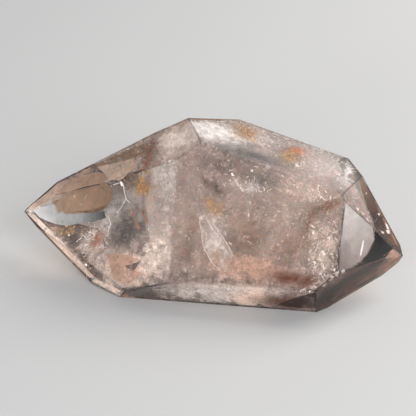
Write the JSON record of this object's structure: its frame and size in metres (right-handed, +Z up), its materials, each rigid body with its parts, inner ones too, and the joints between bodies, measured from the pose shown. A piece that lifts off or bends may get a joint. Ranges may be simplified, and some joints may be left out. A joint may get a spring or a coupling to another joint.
{
  "type": "polished quartz point",
  "caption": "Double-terminated polished quartz crystal lying on its side, pale and smoky, clear at its points and milky in the middle, with iron-stained inclusions.",
  "frame": {"origin": "on the resting face, below the middle of the crystal's outline seen from above", "axes": "+X along the crystal from its clear point to its smoky point, -Y towards the broad front face, +Z up from the resting face"},
  "size_m": [0.088, 0.0412, 0.0349],
  "materials": {
    "quartz": "polished, see-through, faintly smoky",
    "veil": "milky veils and specks inside the crystal",
    "iron_stain": "rusty flecks inside the crystal"
  },
  "bodies": {
    "root": {"crystal": "quartz"}
  },
  "joints": []
}
